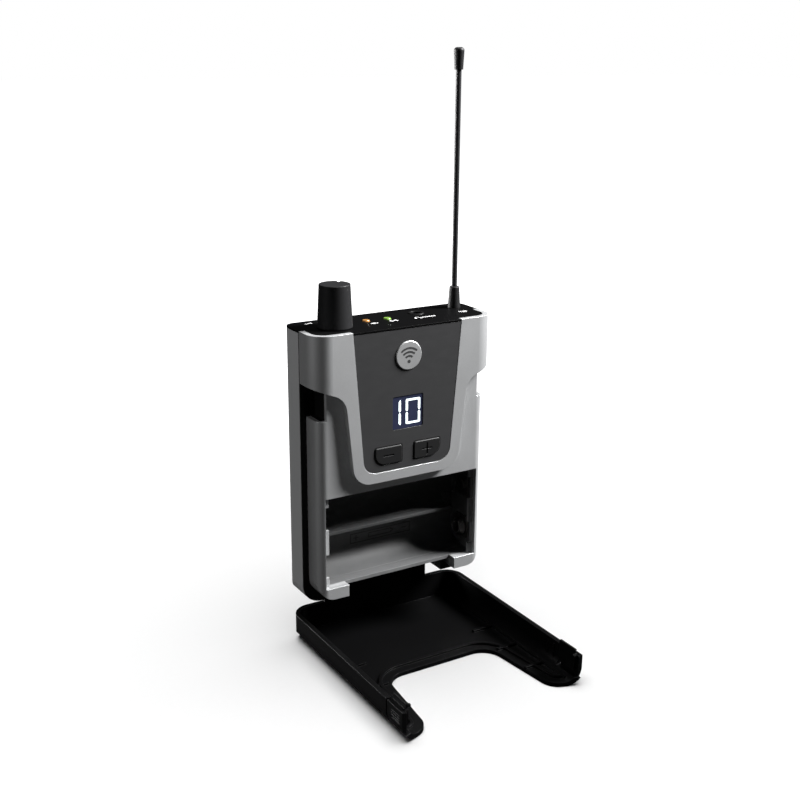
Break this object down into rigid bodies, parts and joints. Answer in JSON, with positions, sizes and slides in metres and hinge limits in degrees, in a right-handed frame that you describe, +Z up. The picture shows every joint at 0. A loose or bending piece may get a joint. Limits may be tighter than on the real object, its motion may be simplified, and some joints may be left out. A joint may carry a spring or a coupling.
{
  "type": "wireless bodypack",
  "caption": "Belt-worn audio bodypack with display, two buttons, volume knob, headphone jack, whip antenna and an open hinged battery door.",
  "frame": {"origin": "on the outer face of the open battery door, in the middle of the width, under the front face of the body", "axes": "+X to the right of the display, +Y towards the back, +Z up along the antenna"},
  "size_m": [0.065, 0.0739, 0.1893],
  "materials": {
    "silver_plastic": "satin painted plastic",
    "grey_plastic": "fine textured plastic",
    "black_plastic": "moulded black plastic",
    "soft_black": "soft black rubber",
    "steel": "bright steel",
    "contact_metal": "nickel plated spring steel",
    "panel_film": "satin printed film",
    "display_glass": "glossy tinted window",
    "circuit_board": "solder masked fibreglass",
    "badge_metal": "satin aluminium",
    "button_rubber": "matt keypad rubber",
    "amber_lens": "tinted clear plastic",
    "green_lens": "tinted clear plastic",
    "brass": "turned brass"
  },
  "bodies": {
    "housing": {"front_shell": "silver_plastic", "rear_shell": "grey_plastic", "latch_keepers": "black_plastic", "seam_gasket": "soft_black", "top_plate": "black_plastic", "housing_screws": "steel", "battery_cradle": "silver_plastic", "contact_plates": "contact_metal", "contact_springs": "contact_metal", "display_panel": "panel_film", "display_window": "display_glass", "lcd_module": "circuit_board", "emblem": "badge_metal", "minus_switch": "black_plastic", "plus_switch": "black_plastic", "keypad_board": "circuit_board", "top_board": "circuit_board", "main_board": "circuit_board", "shield_can": "steel", "volume_pot": "steel", "amber_led": "amber_lens", "green_led": "green_lens", "phones_jack": "black_plastic", "jack_ring": "black_plastic", "antenna_socket": "brass", "antenna_boot": "soft_black", "antenna_rod": "soft_black", "antenna_tip": "soft_black", "hinge_pin": "steel"},
    "volume_control": {"volume_knob": "black_plastic", "pot_shaft": "steel"},
    "minus_key": {"minus_button": "button_rubber"},
    "plus_key": {"plus_button": "button_rubber"},
    "door": {"battery_door": "black_plastic"},
    "left_latch": {"latch_left": "black_plastic"},
    "right_latch": {"latch_right": "black_plastic"}
  },
  "joints": [
    {"name": "volume_turn", "type": "hinge", "parent": "housing", "child": "volume_control", "pos_m": [-0.0205, 0.0098, 0.1135], "axis": [0, 0, 1], "range_deg": [-150, 150]},
    {"name": "minus_press", "type": "slide", "parent": "housing", "child": "minus_key", "axis": [0, 1, 0], "range_m": [0, 0.0005], "stiffness_N_per_m": 900},
    {"name": "plus_press", "type": "slide", "parent": "housing", "child": "plus_key", "axis": [0, 1, 0], "range_m": [0, 0.0005], "stiffness_N_per_m": 900},
    {"name": "door_hinge", "type": "hinge", "parent": "housing", "child": "door", "pos_m": [0, 0.019, 0.019], "axis": [1, 0, 0], "range_deg": [-90, 0]},
    {"name": "left_latch_press", "type": "hinge", "parent": "door", "child": "left_latch", "pos_m": [-0.0312, -0.0475, 0.0034], "axis": [0, 1, 0], "range_deg": [0, 3], "stiffness_Nm_per_rad": 0.6},
    {"name": "right_latch_press", "type": "hinge", "parent": "door", "child": "right_latch", "pos_m": [0.0312, -0.0475, 0.0034], "axis": [0, -1, 0], "range_deg": [0, 3], "stiffness_Nm_per_rad": 0.6}
  ]
}
